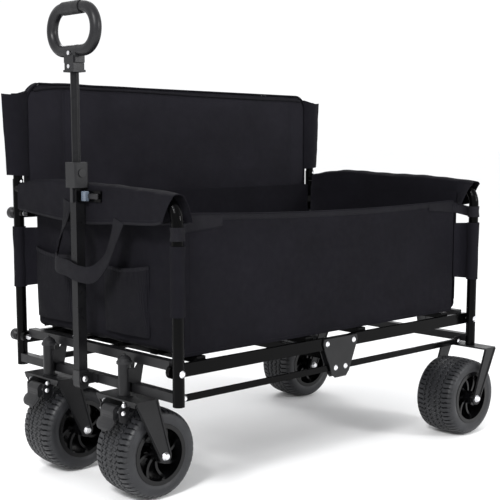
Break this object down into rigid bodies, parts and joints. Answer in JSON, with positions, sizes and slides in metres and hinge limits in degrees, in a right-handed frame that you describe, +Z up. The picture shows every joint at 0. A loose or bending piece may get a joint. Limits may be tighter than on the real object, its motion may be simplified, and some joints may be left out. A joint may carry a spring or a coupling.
{
  "type": "folding camp wagon",
  "caption": "Folding camp wagon with a fabric tub, padded backrest along one side, telescopic pull handle and swivelling front casters.",
  "frame": {"origin": "on the ground, under the middle of the wagon's overall length and width", "axes": "+X towards the rear, -X towards the pull handle, +Y towards the backrest side, +Z up"},
  "size_m": [1.136, 0.7424, 1.067],
  "materials": {
    "frame": "black gloss powder coat",
    "frame_dark": "black satin powder coat",
    "bright": "zinc plated",
    "grip_plastic": "black, slightly glossy",
    "hard_plastic": "black, fine texture",
    "rim_plastic": "black",
    "tread": "dark grey, fine tread",
    "bumper_rubber": "black",
    "cloth": "charcoal woven polyester",
    "webbing": "black webbing"
  },
  "bodies": {
    "rear_end": {"rear_frame": "frame", "rear_crossbar": "frame", "rear_pole": "frame", "rear_bumpers": "bumper_rubber", "rear_bolts": "bright", "rear_cover": "cloth", "rear_panel": "cloth", "near_panel": "cloth", "far_panel": "cloth", "backrest": "cloth", "rear_forks": "frame_dark", "rear_axles": "bright"},
    "rear_side_bars": {"rear_upper_bars": "frame", "rear_slats": "frame", "rear_floor_board": "cloth"},
    "centre": {"centre_plates": "frame", "centre_rivets": "bright", "centre_frame": "frame"},
    "front_side_bars": {"front_upper_bars": "frame", "front_slats": "frame", "front_floor_board": "cloth"},
    "front_end": {"front_frame": "frame", "front_crossbar": "frame", "front_pole": "frame", "front_bumpers": "bumper_rubber", "front_bolts": "bright", "front_cover": "cloth", "front_panel": "cloth", "carry_strap": "webbing", "handle_bracket": "frame_dark", "handle_bolt": "bright", "handle_clip": "hard_plastic", "caster_stems": "frame_dark", "stem_caps": "hard_plastic"},
    "rear_thin_bars": {"rear_lower_bars": "frame"},
    "front_thin_bars": {"front_lower_bars": "frame"},
    "rear_back_rail": {"back_rail_rear": "frame"},
    "front_back_rail": {"back_rail_front": "frame"},
    "handle": {"handle_socket": "hard_plastic", "handle_tube": "frame", "handle_collar": "grip_plastic"},
    "collar_button": {"handle_button": "hard_plastic"},
    "handle_slide": {"slide_tube": "frame", "grip": "grip_plastic", "grip_pad": "bumper_rubber", "grip_screws": "bright"},
    "near_caster": {"near_fork": "frame_dark", "front_near_axle": "bright"},
    "far_caster": {"far_fork": "frame_dark", "front_far_axle": "bright"},
    "near_brake": {"near_pedal": "hard_plastic"},
    "far_brake": {"far_pedal": "hard_plastic"},
    "near_front_wheel": {"front_near_tyre": "tread", "front_near_rim": "rim_plastic"},
    "far_front_wheel": {"front_far_tyre": "tread", "front_far_rim": "rim_plastic"},
    "near_rear_wheel": {"rear_near_tyre": "tread", "rear_near_rim": "rim_plastic"},
    "far_rear_wheel": {"rear_far_tyre": "tread", "rear_far_rim": "rim_plastic"}
  },
  "joints": [
    {"name": "fold", "type": "hinge", "parent": "rear_end", "child": "rear_side_bars", "pos_m": [0.523, 0, 0.299], "axis": [0, 1, 0], "range_deg": [0, 68], "deforming": ["near_panel", "far_panel", "backrest", "front_panel", "rear_panel"]},
    {"name": "fold_rear_centre", "type": "hinge", "parent": "rear_side_bars", "child": "centre", "pos_m": [0.064, 0, 0.299], "axis": [0, 1, 0], "range_deg": [-68, 0]},
    {"name": "fold_front_centre", "type": "hinge", "parent": "centre", "child": "front_side_bars", "pos_m": [-0.028, 0, 0.299], "axis": [0, 1, 0], "range_deg": [-68, 0]},
    {"name": "fold_front", "type": "hinge", "parent": "front_side_bars", "child": "front_end", "pos_m": [-0.487, 0, 0.299], "axis": [0, 1, 0], "range_deg": [0, 68]},
    {"name": "fold_rear_lower", "type": "hinge", "parent": "rear_end", "child": "rear_thin_bars", "pos_m": [0.494, 0, 0.239], "axis": [0, 1, 0], "range_deg": [0, 68]},
    {"name": "fold_front_lower", "type": "hinge", "parent": "front_end", "child": "front_thin_bars", "pos_m": [-0.458, 0, 0.239], "axis": [0, 1, 0], "range_deg": [-68, 0]},
    {"name": "fold_rear_rail", "type": "hinge", "parent": "rear_end", "child": "rear_back_rail", "pos_m": [0.523, 0.28, 0.598], "axis": [0, 1, 0], "range_deg": [0, 68]},
    {"name": "fold_front_rail", "type": "hinge", "parent": "front_end", "child": "front_back_rail", "pos_m": [-0.487, 0.28, 0.598], "axis": [0, 1, 0], "range_deg": [-68, 0]},
    {"name": "handle_tilt", "type": "hinge", "parent": "front_end", "child": "handle", "pos_m": [-0.522, 0, 0.247], "axis": [0, -1, 0], "range_deg": [0, 90], "deforming": ["carry_strap"]},
    {"name": "handle_length", "type": "slide", "parent": "handle", "child": "handle_slide", "axis": [0, 0, 1], "range_m": [-0.19, 0.06]},
    {"name": "collar_press", "type": "slide", "parent": "handle", "child": "collar_button", "axis": [0, 1, 0], "range_m": [0, 0.0025], "stiffness_N_per_m": 400},
    {"name": "near_swivel", "type": "hinge", "parent": "front_end", "child": "near_caster", "pos_m": [-0.51, -0.146, 0.25], "axis": [0, 0, 1], "continuous": true},
    {"name": "far_swivel", "type": "hinge", "parent": "front_end", "child": "far_caster", "pos_m": [-0.51, 0.146, 0.25], "axis": [0, 0, 1], "continuous": true},
    {"name": "near_brake_tilt", "type": "hinge", "parent": "near_caster", "child": "near_brake", "pos_m": [-0.542, -0.146, 0.203], "axis": [0, -1, 0], "range_deg": [0, 14]},
    {"name": "far_brake_tilt", "type": "hinge", "parent": "far_caster", "child": "far_brake", "pos_m": [-0.542, 0.146, 0.203], "axis": [0, -1, 0], "range_deg": [0, 14]},
    {"name": "near_front_spin", "type": "hinge", "parent": "near_caster", "child": "near_front_wheel", "pos_m": [-0.456, -0.146, 0.1], "axis": [0, 1, 0], "continuous": true},
    {"name": "far_front_spin", "type": "hinge", "parent": "far_caster", "child": "far_front_wheel", "pos_m": [-0.456, 0.146, 0.1], "axis": [0, 1, 0], "continuous": true},
    {"name": "near_rear_spin", "type": "hinge", "parent": "rear_end", "child": "near_rear_wheel", "pos_m": [0.468, -0.294, 0.1], "axis": [0, 1, 0], "continuous": true},
    {"name": "far_rear_spin", "type": "hinge", "parent": "rear_end", "child": "far_rear_wheel", "pos_m": [0.468, 0.294, 0.1], "axis": [0, 1, 0], "continuous": true}
  ],
  "couplings": [
    {"joint": "fold_rear_centre", "follows": "fold", "ratio": -1},
    {"joint": "fold_front_centre", "follows": "fold", "ratio": -1},
    {"joint": "fold_front", "follows": "fold", "ratio": 1},
    {"joint": "fold_rear_lower", "follows": "fold", "ratio": 1},
    {"joint": "fold_front_lower", "follows": "fold", "ratio": -1},
    {"joint": "fold_rear_rail", "follows": "fold", "ratio": 1},
    {"joint": "fold_front_rail", "follows": "fold", "ratio": -1}
  ]
}
